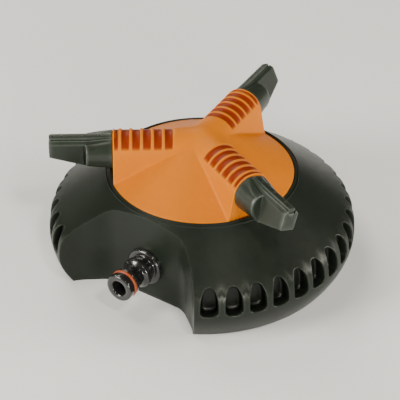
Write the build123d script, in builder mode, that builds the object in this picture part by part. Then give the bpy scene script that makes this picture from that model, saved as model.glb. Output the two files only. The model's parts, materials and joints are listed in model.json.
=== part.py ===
"""Three-arm rotating lawn sprinkler on a domed base.

The origin is on the rotor's axis at ground level, +Z is up and the hose
inlet points along -Y. Each physical piece is its own solid in parts/.
"""
import os
from math import cos, radians, sin

from build123d import *

os.makedirs("parts", exist_ok=True)

# ---- base dome (millimetres, heights above the ground) ----
base_radius = 90.0            # widest radius of the base
wall = 2.6                    # moulded wall
foot_radius = 82.4            # where the skirt meets the ground
belly_height = 18.0           # height of the widest ring
shoulder = (85.0, 33.3)       # radius and height where the straight dome begins
well_radius = 53.9            # round well that the rotor sits in
well_rim_height = 55.6
deck_height = 49.5            # floor of the well
boss_radius = 11.0            # central boss that carries the spindle
boss_top = 51.5
boss_bottom = 41.0
running = 0.05                # radial clearance of shafts in their holes

# ---- scoops around the belly ----
scoop_count = 33
scoop_first = 36.8            # degrees from the inlet to the first scoop
scoop_width = 10.3
scoop_bottom = 17.9
scoop_top = 34.0
scoop_back = 83.0             # radius of the scoop's upright back wall
scoop_wall = 2.0

# ---- inlet recess ----
recess_back = 56.6            # distance of the back wall from the axis
recess_half_width = 22.5
recess_rim_half_width = 46.2
recess_rim = 75.5             # distance of the side walls' outer ends from the axis
recess_fillet = 7.0

# ---- inlet plug, as distances from the rotor's axis and radii ----
inlet_height = 21.2
plug_bore = 4.5
plug_tip = 83.0
plug_tip_radius = 8.2
plug_chamfer = 0.6
plug_groove = (76.0, 78.4)
plug_groove_radius = 6.2
plug_ring_radius = 8.5
plug_land_radius = 8.0
plug_neck = (67.0, 73.5)
plug_neck_radius = 6.6
plug_collar = (62.5, 67.0)
plug_collar_radius = 9.0
plug_flange_end = 59.4
plug_flange_radius = 11.2
plug_thread_radius = 7.5
plug_thread_end = 46.0
spigot_radius = 6.0
spigot_end = 38.0
nut_width = 22.0              # across flats
nut_thickness = 4.0

# ---- feed hose and elbow ----
hose_radius = 8.4
hose_ends = (12.0, 45.5)
clip_radius = 9.6
clip_width = 5.0
clip_places = (14.0, 40.0)
clip_lug = (6.0, 4.0)         # width and height of the clip's screw lug
elbow_radius = 8.6
elbow_spigot_end = 24.0
elbow_bore = 4.0
elbow_flange_radius = 17.0
elbow_flange = 3.0
elbow_screw_circle = 13.6

# ---- spindle ----
spindle_radius = 6.0
spindle_bore = 4.0
spindle_bottom = 33.0
spindle_top = 72.0
spindle_collar_radius = 9.0
spindle_collar = 1.5
washer_radius = 7.8
washer_thickness = 1.0
clip_groove_radius = 5.4
clip_bottom = 65.0
clip_thickness = 1.0
spindle_clip_radius = 8.2

# ---- rotor ----
arm_count = 3
arm_first = 215.8             # azimuth of the first arm, degrees
arm_height = 70.2             # height of the arms' axes
cover_radius = 52.9
cover_rim_height = 55.8
cover_bottom = 51.5
cover_wall = 2.0
hub_top = 80.6
hub_flat_radius = 9.0
sleeve_radius = 11.8
sleeve_foot = 14.4             # half width of the sleeves' flared sides at rim height
sleeve_mouth = 9.4            # hole in the sleeve's end wall
sleeve_end = 51.4             # flat ends of the sleeves
groove_first = 19.5           # middle of the first groove across the top of each arm
groove_pitch = 6.2
groove_count = 6
groove_width = 4.5
groove_depth = 1.1
groove_last_end = 50.6
lower_cover_radius = 50.6
lower_cover_bottom = 51.8
lower_cover_thickness = 2.0
lower_cover_hole = 10.5
manifold_radius = 11.0
manifold_flange_radius = 18.0
manifold_flange = 2.2
chamber_radius = 8.8
chamber_floor = 64.5
chamber_top = 75.8
chamber_lid = 1.2
lid_radius = 10.3
bush_radius = 8.0
bush_top = 62.0
arm_tube_radius = 5.5
arm_tube_bore = 3.6
arm_tube_end = 58.0
rotor_screw_circle = 38.0
rotor_screw_boss = 3.5
rotor_screw_top = 60.0

# ---- nozzles, as distances along the arm from the rotor's axis ----
nozzle_set = {"a": 10.0, "b": 15.0, "c": 24.0}   # how far each row of jets is tipped
socket_start = 44.0
socket_end = 58.6
neck_radius = 9.0
barrel_start = 51.7
barrel_radius = 11.1
barrel_end = 66.0
barrel_round = 1.6
nozzle_tip = 88.0
paddle_half_width = 4.1
paddle_start = 60.0
paddle_upper = (7.6, 7.2)     # above the arm's axis, at the barrel's end and the tip
paddle_lower = (-10.6, -3.5)
passage_radius = 2.6
passage_height = 1.2
passage_end = 86.4
strip_half_width = 2.15
strip_ends = (53.5, 87.2)
strip_upper = (9.9, 9.2)
strip_seat = 5.6
jet_places = (59.0, 69.8, 80.6, 85.6)
jet_radius = 0.6
snap_groove = (45.0, 47.0)
snap_groove_radius = 4.7
snap_play = 0.3
snap_lip_radius = 4.8
seal_place = 53.2             # O-ring between the arm tube and the nozzle
seal_major = 4.85
seal_minor = 0.65

# ---- screws ----
screw_radius = 1.5
screw_head_radius = 2.8
screw_head = 1.5
plate_thickness = 2.5
plate_screw_circle = 62.0
plate_screw_count = 6
plate_screw_boss = 4.5
plate_screw_boss_top = 45.5
plate_screw_top = 14.0
plate_screw_sink = 0.3


def save(piece, name):
    """Label a finished piece and write it."""
    piece.part.label = name
    export_step(piece.part, f"parts/{name}.step")


def inlet_plane(distance):
    """Plane facing -Y at a distance from the rotor's axis, centred on the inlet."""
    return Plane(origin=(0, -distance, inlet_height), x_dir=(1, 0, 0), z_dir=(0, -1, 0))


def arm_plane(azimuth, distance, tip=0.0):
    """Plane across an arm: X sideways, Y up and Z outwards, tipped about the arm."""
    out = Vector(cos(radians(azimuth)), sin(radians(azimuth)), 0)
    side = Vector(-out.Y, out.X, 0) * cos(radians(tip)) - Vector(0, 0, sin(radians(tip)))
    return Plane(origin=out * distance + Vector(0, 0, arm_height), x_dir=side, z_dir=out)


def profile_plane(azimuth, tip):
    """Plane along an arm: X outwards and Y up, for side profiles of a nozzle."""
    across = arm_plane(azimuth, 0, tip)
    return Plane(origin=across.origin, x_dir=across.z_dir, z_dir=across.x_dir * -1)


def round_step(plane, start, end, radius, mode=Mode.ADD):
    """One round length of a turned or moulded piece, along a plane's normal."""
    with BuildSketch(plane.offset(start)) as disc:
        Circle(radius)
    extrude(disc.sketch, amount=end - start, mode=mode)


# ---- recess outline, shared by the shell, its cavity and the base plate ----
with BuildSketch() as recess:
    with BuildLine():
        Polyline(
            (recess_rim_half_width + wall, -base_radius - wall),
            (recess_rim_half_width, -recess_rim),
            (recess_half_width, -recess_back),
            (-recess_half_width, -recess_back),
            (-recess_rim_half_width, -recess_rim),
            (-recess_rim_half_width - wall, -base_radius - wall),
            close=True,
        )
    make_face()
    fillet(recess.vertices().group_by(Axis.Y)[-1], radius=recess_fillet)

# ---- base shell ----
with BuildPart() as dome:
    with BuildSketch(Plane.XZ):
        with BuildLine():
            belly = Spline(
                (foot_radius, 0),
                (base_radius, belly_height),
                shoulder,
                tangents=((0.6, 1.0), (-0.8, 0.6)),
            )
            Polyline(
                belly @ 1,
                (well_radius, well_rim_height),
                (well_radius, deck_height),
                (0, deck_height),
                (0, 0),
                belly @ 0,
            )
        make_face()
    revolve(axis=Axis.Z)

with BuildPart() as cavity:
    with BuildSketch(Plane.XZ):
        with BuildLine():
            inner_belly = Spline(
                (foot_radius - wall, 0),
                (base_radius - wall, belly_height),
                (shoulder[0] - wall * 0.6, shoulder[1] - wall * 0.8),
                tangents=((0.6, 1.0), (-0.8, 0.6)),
            )
            Polyline(
                inner_belly @ 1,
                (well_radius + wall * 0.5, well_rim_height - wall * 1.4),
                (well_radius + wall * 0.5, deck_height - wall),
                (0, deck_height - wall),
                (0, 0),
                inner_belly @ 0,
            )
        make_face()
    revolve(axis=Axis.Z)
    with BuildSketch():
        add(recess.sketch)
        offset(amount=wall)
    extrude(amount=base_radius, mode=Mode.SUBTRACT)

with BuildPart() as scoop:
    with BuildSketch(Plane.YZ.offset(scoop_back)):
        with Locations((0, (scoop_bottom + scoop_top - scoop_width / 2) / 2)):
            Rectangle(scoop_width, scoop_top - scoop_bottom - scoop_width / 2)
        with Locations((0, scoop_top - scoop_width / 2)):
            Circle(scoop_width / 2)
    extrude(amount=base_radius - scoop_back + 1)

with BuildPart() as scoop_block:
    with BuildSketch(Plane.YZ.offset(scoop_back - scoop_wall)):
        with Locations((0, (scoop_bottom + scoop_top) / 2)):
            Rectangle(scoop_width + 2 * scoop_wall, scoop_top - scoop_bottom + 2 * scoop_wall)
    extrude(amount=base_radius - scoop_back)

scoop_pitch = (360 - 2 * scoop_first) / (scoop_count - 1)
scoop_places = [Rotation(0, 0, -90 + scoop_first + step * scoop_pitch) for step in range(scoop_count)]

with BuildPart() as scoop_backs:
    with Locations(*scoop_places):
        add(scoop_block.part)
    add(dome.part, mode=Mode.INTERSECT)

with BuildPart() as base_shell:
    add(dome.part)
    with BuildSketch():
        add(recess.sketch)
    extrude(amount=base_radius, mode=Mode.SUBTRACT)
    add(cavity.part, mode=Mode.SUBTRACT)
    add(scoop_backs.part)
    with Locations(*scoop_places):
        add(scoop.part, mode=Mode.SUBTRACT)
    # bosses for the spindle, the elbow's screws and the base plate's screws
    with BuildSketch(Plane.XY.offset(boss_bottom)):
        Circle(boss_radius)
        with PolarLocations(elbow_screw_circle, 3, start_angle=90):
            Circle(screw_radius + 2)
    extrude(amount=deck_height - wall / 2 - boss_bottom)
    round_step(Plane.XY, deck_height - wall / 2, boss_top, boss_radius)
    with BuildSketch(Plane.XY.offset(plate_thickness)):
        with PolarLocations(plate_screw_circle, plate_screw_count):
            Circle(plate_screw_boss)
    extrude(amount=plate_screw_boss_top - plate_thickness)
    # holes
    round_step(Plane.XY, boss_bottom, boss_top, spindle_radius + running, Mode.SUBTRACT)
    with BuildSketch(Plane.XY.offset(boss_bottom)):
        with PolarLocations(elbow_screw_circle, 3, start_angle=90):
            Circle(screw_radius)
    extrude(amount=5.2, mode=Mode.SUBTRACT)
    with BuildSketch(Plane.XY.offset(plate_thickness)):
        with PolarLocations(plate_screw_circle, plate_screw_count):
            Circle(screw_radius)
    extrude(amount=plate_screw_top - plate_thickness, mode=Mode.SUBTRACT)
    round_step(
        inlet_plane(0), recess_back - wall - 1, recess_back + 1, plug_thread_radius + running, Mode.SUBTRACT
    )
save(base_shell, "base_shell")

# ---- base plate and its screws ----
with BuildPart() as base_plate:
    round_step(Plane.XY, 0, plate_thickness, foot_radius - wall - 0.3)
    with BuildSketch():
        add(recess.sketch)
        offset(amount=wall + 0.3)
    extrude(amount=plate_thickness, mode=Mode.SUBTRACT)
    with Locations(Plane.XY.rotated((180, 0, 0))):
        with PolarLocations(plate_screw_circle, plate_screw_count):
            CounterSinkHole(screw_radius, screw_head_radius + plate_screw_sink, counter_sink_angle=90)
save(base_plate, "base_plate")


def countersunk_screws(circle, count, bottom, top, first=0.0):
    """A ring of countersunk screws standing heads down, as one group."""
    head = screw_head_radius - screw_radius
    with PolarLocations(circle, count, start_angle=first):
        with Locations((0, 0, bottom + head / 2)):
            Cone(screw_head_radius, screw_radius, head)
        with Locations((0, 0, (bottom + head + top) / 2)):
            Cylinder(screw_radius, top - bottom - head)


with BuildPart() as base_screws:
    countersunk_screws(plate_screw_circle, plate_screw_count, plate_screw_sink, plate_screw_top - 1)
save(base_screws, "base_screws")

# ---- inlet plug, its O-ring and the nut behind the wall ----
with BuildPart() as inlet_plug:
    axis = inlet_plane(0)
    round_step(axis, spigot_end, plug_thread_end, spigot_radius)
    round_step(axis, plug_thread_end, recess_back, plug_thread_radius)
    round_step(axis, recess_back, plug_flange_end, plug_flange_radius)
    round_step(axis, plug_flange_end, plug_collar[0], plug_land_radius)
    round_step(axis, plug_collar[0], plug_collar[1], plug_collar_radius)
    round_step(axis, plug_neck[0], plug_neck[1], plug_neck_radius)
    round_step(axis, plug_neck[1], plug_groove[0], plug_land_radius)
    round_step(axis, plug_groove[0], plug_groove[1], plug_groove_radius)
    round_step(axis, plug_groove[1], plug_tip, plug_tip_radius)
    chamfer(inlet_plug.faces().sort_by(Axis.Y)[0].edges(), plug_chamfer)
    round_step(axis, spigot_end, plug_tip, plug_bore, Mode.SUBTRACT)
save(inlet_plug, "inlet_plug")

ring_minor = (plug_ring_radius - plug_groove_radius) / 2
with BuildPart(inlet_plane(sum(plug_groove) / 2)) as inlet_ring:
    Torus(plug_groove_radius + ring_minor, ring_minor)
save(inlet_ring, "inlet_ring")

with BuildPart() as inlet_nut:
    with BuildSketch(inlet_plane(recess_back - wall - nut_thickness)):
        RegularPolygon(nut_width / 2, 6, major_radius=False)
        Circle(plug_thread_radius, mode=Mode.SUBTRACT)
    extrude(amount=nut_thickness)
save(inlet_nut, "inlet_nut")

# ---- feed hose with its two clips ----
with BuildPart() as feed_hose:
    round_step(inlet_plane(0), hose_ends[0], hose_ends[1], hose_radius)
    round_step(inlet_plane(0), hose_ends[0], hose_ends[1], spigot_radius, Mode.SUBTRACT)
save(feed_hose, "feed_hose")

with BuildPart() as hose_clips:
    for place in clip_places:
        with BuildSketch(inlet_plane(place)):
            Circle(clip_radius)
            with Locations((0, clip_radius + clip_lug[1] / 2 - 1)):
                Rectangle(clip_lug[0], clip_lug[1])
            Circle(hose_radius, mode=Mode.SUBTRACT)
        extrude(amount=clip_width)
save(hose_clips, "hose_clips")

# ---- elbow, its screws and the spindle ----
with BuildPart() as riser_elbow:
    round_step(inlet_plane(0), 0, elbow_spigot_end, spigot_radius)
    with Locations((0, 0, inlet_height)):
        Sphere(elbow_radius)
    round_step(Plane.XY, inlet_height, boss_bottom - elbow_flange, elbow_radius)
    round_step(Plane.XY, boss_bottom - elbow_flange, boss_bottom, elbow_flange_radius)
    round_step(inlet_plane(0), 0, elbow_spigot_end, elbow_bore, Mode.SUBTRACT)
    round_step(Plane.XY, inlet_height, boss_bottom, elbow_bore, Mode.SUBTRACT)
    round_step(Plane.XY, spindle_bottom, boss_bottom, spindle_radius, Mode.SUBTRACT)
    with BuildSketch(Plane.XY.offset(boss_bottom)):
        with PolarLocations(elbow_screw_circle, 3, start_angle=90):
            Circle(screw_radius + running)
    extrude(amount=-elbow_flange, mode=Mode.SUBTRACT)
save(riser_elbow, "riser_elbow")

with BuildPart() as elbow_screws:
    with BuildSketch(Plane.XY.offset(boss_bottom - elbow_flange - screw_head)):
        with PolarLocations(elbow_screw_circle, 3, start_angle=90):
            Circle(screw_head_radius)
    extrude(amount=screw_head)
    with BuildSketch(Plane.XY.offset(boss_bottom - elbow_flange)):
        with PolarLocations(elbow_screw_circle, 3, start_angle=90):
            Circle(screw_radius)
    extrude(amount=elbow_flange + 5.0)
save(elbow_screws, "elbow_screws")

with BuildPart() as spindle:
    round_step(Plane.XY, spindle_bottom, spindle_top, spindle_radius)
    round_step(Plane.XY, boss_top, boss_top + spindle_collar, spindle_collar_radius)
    with BuildSketch(Plane.XY.offset(clip_bottom)):
        Circle(spindle_radius)
        Circle(clip_groove_radius, mode=Mode.SUBTRACT)
    extrude(amount=clip_thickness, mode=Mode.SUBTRACT)
    round_step(Plane.XY, spindle_bottom, spindle_top, spindle_bore, Mode.SUBTRACT)
save(spindle, "spindle")

washer_bottom = boss_top + spindle_collar
with BuildPart() as thrust_washer:
    with BuildSketch(Plane.XY.offset(washer_bottom)):
        Circle(washer_radius)
        Circle(spindle_radius + running, mode=Mode.SUBTRACT)
    extrude(amount=washer_thickness)
save(thrust_washer, "thrust_washer")

with BuildPart() as spindle_clip:
    with BuildSketch(Plane.XY.offset(clip_bottom)):
        Circle(spindle_clip_radius)
        Circle(clip_groove_radius, mode=Mode.SUBTRACT)
        with Locations((0, -spindle_clip_radius)):
            Rectangle(spindle_radius, spindle_clip_radius, mode=Mode.SUBTRACT)
    extrude(amount=clip_thickness)
save(spindle_clip, "spindle_clip")

# ---- rotor cover: a low cone with three ribbed sleeves ----
arm_azimuths = [arm_first + 360 / arm_count * index for index in range(arm_count)]


def flat_end(azimuth, distance):
    """Cut the round outline off flat, square to an arm."""
    with BuildSketch(arm_plane(azimuth, distance)) as end_face:
        Rectangle(cover_radius, cover_radius)
    extrude(end_face.sketch, amount=sleeve_radius, mode=Mode.SUBTRACT)


def cover_form(inset):
    """Outer form of the cover, or the form of its inside when inset by the wall."""
    with BuildPart(mode=Mode.PRIVATE) as form:
        with BuildSketch(Plane.XZ):
            with BuildLine():
                Polyline(
                    (0, cover_bottom),
                    (cover_radius - inset, cover_bottom),
                    (cover_radius - inset, cover_rim_height - inset * 0.5),
                    (hub_flat_radius - inset * 0.5, hub_top - inset),
                    (0, hub_top - inset),
                    close=True,
                )
            make_face()
        revolve(axis=Axis.Z)
        half, foot = sleeve_radius - inset, sleeve_foot - inset
        foot_level = cover_rim_height - inset - arm_height
        for azimuth in arm_azimuths:
            with BuildSketch(arm_plane(azimuth, 0)):
                Circle(half)
                Polygon((-half, 0), (half, 0), (foot, foot_level), (-foot, foot_level), align=None)
            extrude(amount=sleeve_end - inset)
            flat_end(azimuth, sleeve_end - inset)
    return form.part


with BuildPart() as rotor_cover:
    add(cover_form(0))
    add(cover_form(cover_wall), mode=Mode.SUBTRACT)
    for azimuth in arm_azimuths:
        round_step(arm_plane(azimuth, 0), sleeve_end - cover_wall - 1, sleeve_end + 1, sleeve_mouth, Mode.SUBTRACT)
        for index in range(groove_count):
            place = groove_first + index * groove_pitch - groove_width / 2
            width = min(groove_width, groove_last_end - place)
            with BuildSketch(arm_plane(azimuth, place)):
                Circle(sleeve_radius + groove_depth)
                with Locations((0, -groove_depth)):
                    Circle(sleeve_radius, mode=Mode.SUBTRACT)
                with Locations((0, -sleeve_radius)):
                    Rectangle(4 * sleeve_radius, 2 * sleeve_radius, mode=Mode.SUBTRACT)
            extrude(amount=width, mode=Mode.SUBTRACT)
    screw_places = PolarLocations(rotor_screw_circle, arm_count, start_angle=arm_first + 60)
    with BuildSketch(Plane.XY.offset(lower_cover_bottom + lower_cover_thickness)):
        with screw_places:
            Circle(rotor_screw_boss)
    extrude(amount=rotor_screw_top + cover_wall - lower_cover_bottom - lower_cover_thickness)
    with BuildSketch(Plane.XY.offset(lower_cover_bottom + lower_cover_thickness)):
        with screw_places:
            Circle(screw_radius)
    extrude(amount=rotor_screw_top - lower_cover_bottom - lower_cover_thickness + 0.5, mode=Mode.SUBTRACT)
save(rotor_cover, "rotor_cover")

# ---- rotor's lower cover and its screws ----
with BuildPart() as rotor_lower_cover:
    round_step(Plane.XY, lower_cover_bottom, lower_cover_bottom + lower_cover_thickness, lower_cover_radius)
    round_step(Plane.XY, lower_cover_bottom, lower_cover_bottom + lower_cover_thickness, lower_cover_hole,
               Mode.SUBTRACT)
    for azimuth in arm_azimuths:
        flat_end(azimuth, sleeve_end - cover_wall - 0.2)
    with Locations(Plane.XY.offset(lower_cover_bottom).rotated((180, 0, 0))):
        with PolarLocations(rotor_screw_circle, arm_count, start_angle=-(arm_first + 60)):
            CounterSinkHole(screw_radius, screw_head_radius, counter_sink_angle=90)
save(rotor_lower_cover, "rotor_lower_cover")

with BuildPart() as rotor_screws:
    countersunk_screws(rotor_screw_circle, arm_count, lower_cover_bottom, rotor_screw_top, arm_first + 60)
save(rotor_screws, "rotor_screws")

# ---- manifold: water chamber with three arm tubes ----
manifold_bottom = lower_cover_bottom + lower_cover_thickness
with BuildPart() as rotor_manifold:
    round_step(Plane.XY, manifold_bottom, manifold_bottom + manifold_flange, manifold_flange_radius)
    round_step(Plane.XY, manifold_bottom, chamber_top, manifold_radius)
    for azimuth in arm_azimuths:
        along = arm_plane(azimuth, 0)
        round_step(along, 0, arm_tube_end, arm_tube_radius)
        for start, end, radius in (
            (snap_groove[0], snap_groove[1], snap_groove_radius),
            (seal_place - 0.9, seal_place + 0.9, seal_major - seal_minor),
        ):
            with BuildSketch(along.offset(start)):
                Circle(arm_tube_radius)
                Circle(radius, mode=Mode.SUBTRACT)
            extrude(amount=end - start, mode=Mode.SUBTRACT)
        round_step(along, 0, arm_tube_end, arm_tube_bore, Mode.SUBTRACT)
    round_step(Plane.XY, chamber_floor, chamber_top, chamber_radius, Mode.SUBTRACT)
    round_step(Plane.XY, manifold_bottom, chamber_floor, bush_radius, Mode.SUBTRACT)
save(rotor_manifold, "rotor_manifold")

with BuildPart() as manifold_lid:
    round_step(Plane.XY, chamber_top, chamber_top + chamber_lid, lid_radius)
save(manifold_lid, "manifold_lid")

for name, bottom, top in (
    ("rotor_bush", washer_bottom + washer_thickness + running, bush_top),
    ("rotor_seal", bush_top, chamber_floor),
):
    with BuildPart() as sleeve_ring:
        round_step(Plane.XY, bottom, top, bush_radius)
        round_step(Plane.XY, bottom, top, spindle_radius + running, Mode.SUBTRACT)
    save(sleeve_ring, name)

# ---- nozzles, their jet strips and O-rings ----
for azimuth, (name, tip) in zip(arm_azimuths, nozzle_set.items()):
    along = arm_plane(azimuth, 0, tip)
    side_view = profile_plane(azimuth, tip)

    with BuildPart() as nozzle:
        round_step(along, socket_start, barrel_start, neck_radius)
        with BuildPart(mode=Mode.PRIVATE) as barrel:
            round_step(along, barrel_start, barrel_end, barrel_radius)
            outer_end = barrel.faces().filter_by(GeomType.PLANE).sort_by(Axis(along.origin, along.z_dir))[-1]
            fillet(outer_end.edges(), barrel_round)
        add(barrel.part)
        with BuildSketch(along.offset(barrel_start)):
            with Locations((0, paddle_upper[0] + barrel_radius)):
                Rectangle(2 * paddle_half_width, 2 * barrel_radius)
        extrude(amount=barrel_end - barrel_start, mode=Mode.SUBTRACT)
        with BuildSketch(side_view):
            Polygon(
                (paddle_start, paddle_lower[0]),
                (barrel_end, paddle_lower[0]),
                (nozzle_tip, paddle_lower[1]),
                (nozzle_tip, paddle_upper[1]),
                (paddle_start, paddle_upper[0]),
                align=None,
            )
        extrude(amount=paddle_half_width, both=True)
        with BuildSketch(side_view):
            Polygon(
                (strip_ends[0], strip_seat),
                (strip_ends[1], strip_seat),
                (strip_ends[1], barrel_radius),
                (strip_ends[0], barrel_radius),
                align=None,
            )
        extrude(amount=strip_half_width, both=True, mode=Mode.SUBTRACT)
        # socket for the arm tube, with the lip that snaps into its groove
        for start, end, radius in (
            (socket_start, snap_groove[0] + snap_play, arm_tube_radius + running),
            (snap_groove[0] + snap_play, snap_groove[1] - snap_play, snap_lip_radius),
            (snap_groove[1] - snap_play, socket_end, arm_tube_radius + running),
        ):
            round_step(along, start, end, radius, Mode.SUBTRACT)
        with BuildSketch(along.offset(socket_end)):
            with Locations((0, passage_height)):
                Circle(passage_radius)
        extrude(amount=passage_end - socket_end, mode=Mode.SUBTRACT)
        jet_plane = Plane(origin=along.origin, x_dir=along.z_dir, z_dir=along.y_dir)
        with BuildSketch(jet_plane.offset(passage_height)):
            with Locations(*[(place, 0) for place in jet_places]):
                Circle(jet_radius)
        extrude(amount=strip_seat - passage_height, mode=Mode.SUBTRACT)
    save(nozzle, f"nozzle_{name}")

    with BuildPart() as jet_strip:
        with BuildSketch(side_view):
            Polygon(
                (strip_ends[0], strip_seat),
                (strip_ends[1], strip_seat),
                (strip_ends[1], strip_upper[1]),
                (strip_ends[0], strip_upper[0]),
                align=None,
            )
        extrude(amount=strip_half_width, both=True)
        with BuildSketch(jet_plane.offset(strip_seat)):
            with Locations(*[(place, 0) for place in jet_places]):
                Circle(jet_radius)
        extrude(amount=strip_upper[0] - strip_seat, mode=Mode.SUBTRACT)
    save(jet_strip, f"jet_strip_{name}")

    with BuildPart(arm_plane(azimuth, seal_place)) as arm_seal:
        Torus(seal_major, seal_minor)
    save(arm_seal, f"arm_seal_{name}")
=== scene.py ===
import json
import math
import bmesh
import bpy
import numpy as np
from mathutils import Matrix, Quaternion, Vector


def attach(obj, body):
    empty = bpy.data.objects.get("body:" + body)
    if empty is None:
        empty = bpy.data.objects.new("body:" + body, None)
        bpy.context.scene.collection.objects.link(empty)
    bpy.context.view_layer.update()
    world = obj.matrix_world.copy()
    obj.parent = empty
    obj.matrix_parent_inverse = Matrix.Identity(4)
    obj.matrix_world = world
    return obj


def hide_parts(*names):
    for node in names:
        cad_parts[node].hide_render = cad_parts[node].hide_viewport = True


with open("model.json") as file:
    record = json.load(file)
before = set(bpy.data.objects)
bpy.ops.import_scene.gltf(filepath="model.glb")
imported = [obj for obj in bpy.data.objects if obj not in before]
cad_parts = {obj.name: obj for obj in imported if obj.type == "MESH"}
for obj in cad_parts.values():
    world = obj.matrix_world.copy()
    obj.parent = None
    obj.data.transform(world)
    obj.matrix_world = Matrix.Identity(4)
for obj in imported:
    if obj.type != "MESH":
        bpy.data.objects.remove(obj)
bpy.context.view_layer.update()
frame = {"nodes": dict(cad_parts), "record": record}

mm = 0.001

# plastics and rubbers: the edge colour is rubbed wear and painted highlight on convex edges, the hollow
# colour is painted shade in recesses
plasticLooks = {
    "base_plastic": {
        "name": "darkBasePlastic", "colour": (0.0092, 0.0132, 0.0090), "wearAndHighlight": (0.05, 0.066, 0.048),
        "paintedShade": (0.003, 0.004, 0.003), "clouds": 0.16, "edges": 0.28, "roughness": 0.34, "scuffs": 0.05,
        "grain": 2600.0, "bump": 0.20, "shine": 0.26},
    "rotor_plastic": {
        "name": "orangeRotorPlastic", "colour": (0.60, 0.162, 0.0005), "wearAndHighlight": (0.85, 0.32, 0.02),
        "paintedShade": (0.22, 0.022, 0.001), "clouds": 0.05, "edges": 0.4, "roughness": 0.45, "scuffs": 0.06,
        "grain": 3000.0, "bump": 0.18, "shine": 0.12},
    # the nozzle's bright edge colour and strong edge amount paint highlights along its edges, on top of
    # rubbed wear
    "nozzle_plastic": {
        "name": "darkNozzlePlastic", "colour": (0.0135, 0.0188, 0.0130), "wearAndHighlight": (0.13, 0.155, 0.135),
        "clouds": 0.07, "edges": 0.65, "roughness": 0.31, "scuffs": 0.03, "grain": 2600.0, "bump": 0.05,
        "shine": 0.38},
    "plug_plastic": {
        "name": "glossyPlugPlastic", "colour": (0.009, 0.009, 0.010), "wearAndHighlight": (0.05, 0.05, 0.05),
        "clouds": 0.10, "edges": 0.3, "roughness": 0.20, "scuffs": 0.06, "grain": 3000.0, "bump": 0.06,
        "coat": 0.6, "coatRoughness": 0.08},
    "ring_rubber": {
        "name": "orangeRingRubber", "colour": (0.36, 0.060, 0.014), "wearAndHighlight": (0.50, 0.16, 0.06),
        "clouds": 0.10, "edges": 0.2, "roughness": 0.42, "scuffs": 0.10, "grain": 3500.0, "bump": 0.2},
    "seal_rubber": {
        "name": "blackSealRubber", "colour": (0.02, 0.02, 0.02), "wearAndHighlight": (0.06, 0.06, 0.06),
        "clouds": 0.10, "edges": 0.2, "roughness": 0.55, "scuffs": 0.10, "grain": 3500.0, "bump": 0.2},
    "hose_rubber": {
        "name": "blackHoseRubber", "colour": (0.025, 0.025, 0.026), "wearAndHighlight": (0.08, 0.08, 0.08),
        "clouds": 0.12, "edges": 0.2, "roughness": 0.6, "scuffs": 0.12, "grain": 2200.0, "bump": 0.3},
    "inner_plastic": {
        "name": "greyInnerPlastic", "colour": (0.22, 0.23, 0.23), "wearAndHighlight": (0.4, 0.4, 0.4),
        "clouds": 0.08, "edges": 0.2, "roughness": 0.5, "scuffs": 0.08, "grain": 2800.0, "bump": 0.2},
    "bush_plastic": {
        "name": "paleBushPlastic", "colour": (0.62, 0.62, 0.57), "wearAndHighlight": (0.7, 0.7, 0.66),
        "clouds": 0.05, "edges": 0.1, "roughness": 0.4, "scuffs": 0.06, "grain": 2800.0, "bump": 0.15},
}
metalLooks = {
    "spindle_steel": {
        "name": "turnedSpindleSteel", "colour": (0.62, 0.61, 0.60), "dull": (0.50, 0.50, 0.50),
        "roughness": 0.28, "marks": 900.0},
    "screw_steel": {
        "name": "platedScrewSteel", "colour": (0.60, 0.59, 0.56), "dull": (0.42, 0.42, 0.43),
        "roughness": 0.36, "marks": 1500.0},
}
patternLook = {
    "cloudScale": 38.0,
    "blotchScale": 420.0,
    "scuffScale": 150.0,
    "scuffDistortion": 1.4,
    "metalBlotchScale": 300.0,
    "grainHeight": 0.0002,          # metres
    "markHeight": 0.0001,
    "markStrength": 0.15,
}


def newMaterial(name, settings):
    # a Principled material with its fixed values set straight on the shader
    material = bpy.data.materials.new(name)
    material.use_nodes = True
    shader = material.node_tree.nodes["Principled BSDF"]
    for socket, value in settings.items():
        shader.inputs[socket].default_value = value
    return material, shader


def addNode(nodes, kind, values=None, **settings):
    # one node with its settings and its unlinked inputs
    node = nodes.new(kind)
    for key, value in settings.items():
        setattr(node, key, value)
    for key, value in (values or {}).items():
        node.inputs[key].default_value = value
    return node


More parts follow.
